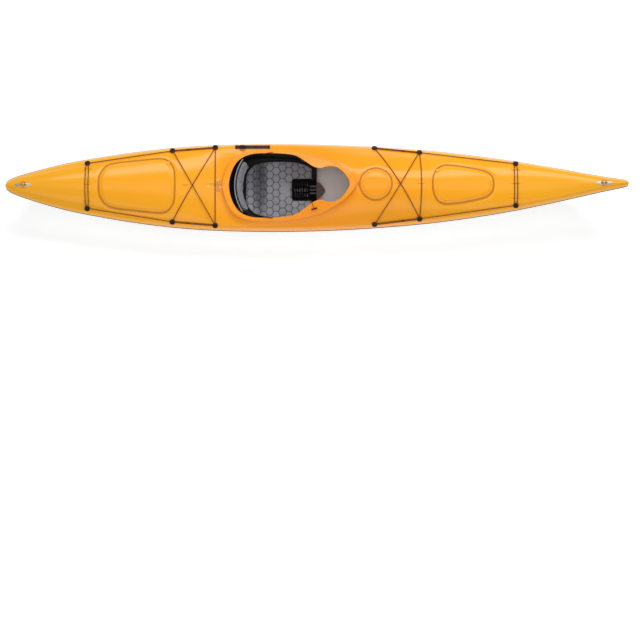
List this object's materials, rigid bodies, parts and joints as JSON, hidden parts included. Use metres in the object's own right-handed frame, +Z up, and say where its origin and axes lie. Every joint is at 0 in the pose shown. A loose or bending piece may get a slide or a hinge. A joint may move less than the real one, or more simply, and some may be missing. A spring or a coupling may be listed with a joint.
{
  "type": "touring kayak",
  "caption": "Sit-inside touring kayak with keyhole cockpit, padded seat and backrest, hatches, deck lines, foot braces and a skeg that drops from its trunk by a deck slider.",
  "frame": {"origin": "on the flat of the keel, on the centre line, half way along the boat's length", "axes": "+X towards the bow, +Y to port, +Z up"},
  "size_m": [4.27, 0.613, 0.474],
  "materials": {
    "deck_shell": "glossy thermoformed sheet, yellow at the ends and orange amidships",
    "hull_shell": "glossy white thermoformed sheet",
    "strip": "satin extruded trim",
    "rim": "glossy moulded rim",
    "black_plastic": "moulded, matte",
    "black_shell": "textured sheet",
    "pod_shell": "moulded tub",
    "bulkhead": "bonded panel",
    "gasket": "soft seal",
    "cover": "glossy moulded lid",
    "steel": "polished stainless",
    "skeg": "moulded fin",
    "tube": "cable tube",
    "track": "moulded guide",
    "knob": "moulded, satin",
    "line": "braided cord",
    "foam": "grey foam with dark hexagonal studs",
    "web": "woven strap",
    "band": "sewn band",
    "back_pad": "padded cloth",
    "foot": "closed-cell foam"
  },
  "bodies": {
    "boat": {"hull": "hull_shell", "deck": "deck_shell", "seam_strip": "strip", "coaming": "rim", "stern_hatch_rim": "deck_shell", "stern_hatch_gasket": "gasket", "bow_hatch_rim": "deck_shell", "bow_hatch_gasket": "gasket", "day_hatch_rim": "deck_shell", "day_hatch_gasket": "gasket", "day_pod": "pod_shell", "skeg_cable_tube": "tube", "bow_bulkhead": "bulkhead", "stern_bulkhead": "bulkhead", "skeg_trunk": "hull_shell", "skeg_pin": "steel", "slider_track": "track", "deck_fittings": "knob", "deck_screws": "steel", "bow_lines": "line", "stern_lines": "line", "line_clips": "knob", "bow_bungees": "line", "stern_bungees": "line", "bow_padeye": "steel", "stern_padeye": "steel", "rear_padeye": "steel", "seat_pan": "black_shell", "seat_pad": "foam", "seat_ladder": "black_plastic", "seat_webbing": "web", "seat_rivets": "knob", "seat_side_panels": "black_shell", "seat_feet": "foot", "backrest_pins": "steel", "foot_rail_port": "black_plastic", "foot_rail_starboard": "black_plastic", "seat_pull_handle": "knob", "seat_pull_cord": "line"},
    "stern_cover": {"stern_hatch_cover": "cover"},
    "bow_cover": {"bow_hatch_cover": "cover"},
    "day_cover": {"day_hatch_cover": "cover"},
    "skeg": {"skeg_blade": "skeg"},
    "slider": {"slider_knob": "knob"},
    "backrest": {"backrest_shell": "black_shell", "backrest_pad": "back_pad", "backrest_band": "band"},
    "pedal_port": {"foot_pedal_port": "black_plastic"},
    "pedal_starboard": {"foot_pedal_starboard": "black_plastic"}
  },
  "joints": [
    {"name": "stern_cover_lift", "type": "slide", "parent": "boat", "child": "stern_cover", "axis": [0, 0, 1], "range_m": [0, 0.12]},
    {"name": "bow_cover_lift", "type": "slide", "parent": "boat", "child": "bow_cover", "axis": [0, 0, 1], "range_m": [0, 0.12]},
    {"name": "day_cover_lift", "type": "slide", "parent": "boat", "child": "day_cover", "axis": [0, 0, 1], "range_m": [0, 0.12]},
    {"name": "skeg_pivot", "type": "hinge", "parent": "boat", "child": "skeg", "pos_m": [-1.6, 0, 0.052], "axis": [0, -1, 0], "range_deg": [0, 70]},
    {"name": "skeg_slider", "type": "slide", "parent": "boat", "child": "slider", "axis": [1, 0, 0], "range_m": [0, 0.149]},
    {"name": "backrest_fold", "type": "hinge", "parent": "boat", "child": "backrest", "pos_m": [-0.49, 0, 0.172], "axis": [0, 1, 0], "range_deg": [0, 45]},
    {"name": "port_pedal_slide", "type": "slide", "parent": "boat", "child": "pedal_port", "axis": [0.9959, -0.0906, 0], "range_m": [-0.12, 0.12]},
    {"name": "starboard_pedal_slide", "type": "slide", "parent": "boat", "child": "pedal_starboard", "axis": [0.9959, 0.0906, 0], "range_m": [-0.12, 0.12]}
  ],
  "couplings": [
    {"joint": "skeg_slider", "follows": "skeg_pivot", "m_per_rad": 0.12196}
  ]
}
